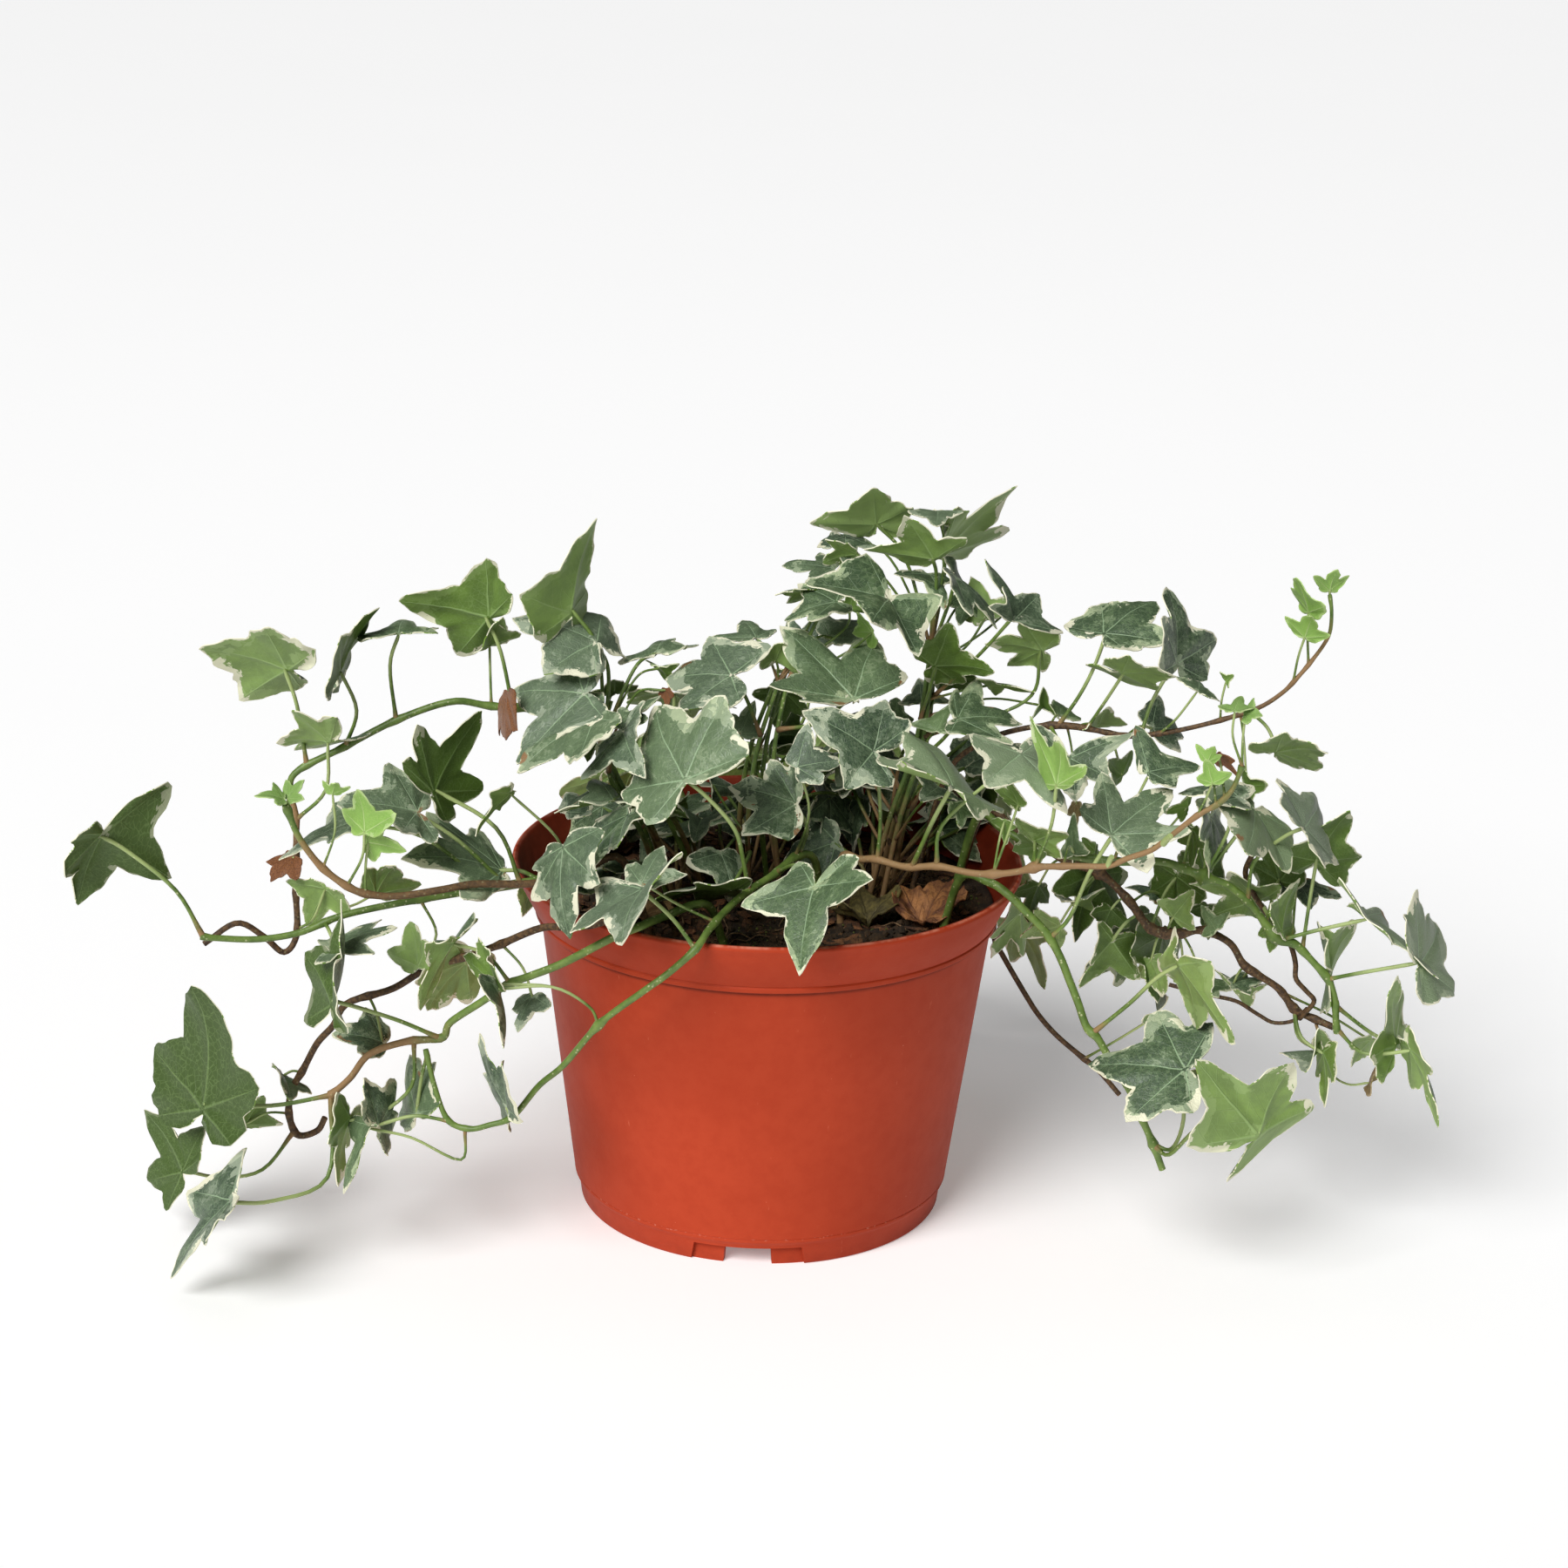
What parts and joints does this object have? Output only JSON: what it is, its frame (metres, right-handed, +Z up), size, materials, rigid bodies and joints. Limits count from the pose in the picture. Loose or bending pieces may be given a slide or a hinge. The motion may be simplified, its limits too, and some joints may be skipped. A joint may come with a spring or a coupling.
{
  "type": "potted ivy",
  "caption": "Trailing variegated ivy with small lobed leaves, growing in a round plastic nursery pot full of soil.",
  "frame": {"origin": "middle of the pot's underside, on the floor that it stands on", "axes": "+Z up along the pot's axis, -Y towards the viewer of the picture, +X to that viewer's right"},
  "size_m": [0.3976, 0.2206, 0.2213],
  "materials": {
    "terracotta_plastic": "matte terracotta-orange moulded plastic",
    "potting_soil": "dark crumbly potting soil with bark bits",
    "ivy_green": "waxy grey-green leaves with cream edges, green and brown stems",
    "dry_leaf": "dry curled brown leaf"
  },
  "bodies": {
    "root": {"pot": "terracotta_plastic", "soil": "potting_soil", "left_arching_stem": "ivy_green", "left_front_stem": "ivy_green", "left_tip_stem": "ivy_green", "left_brown_stem": "ivy_green", "left_green_stem": "ivy_green", "front_left_stem": "ivy_green", "crown_left_stem": "ivy_green", "crown_middle_stem": "ivy_green", "crown_right_stem": "ivy_green", "front_right_stem": "ivy_green", "right_hanging_stem": "ivy_green", "right_dark_stem": "ivy_green", "right_green_stem": "ivy_green", "right_brown_stem": "ivy_green", "right_upper_stem": "ivy_green", "back_left_stem": "ivy_green", "back_stem": "ivy_green", "back_right_stem": "ivy_green", "fallen_leaf_1": "dry_leaf", "fallen_leaf_2": "dry_leaf", "fallen_leaf_3": "dry_leaf"}
  },
  "joints": []
}
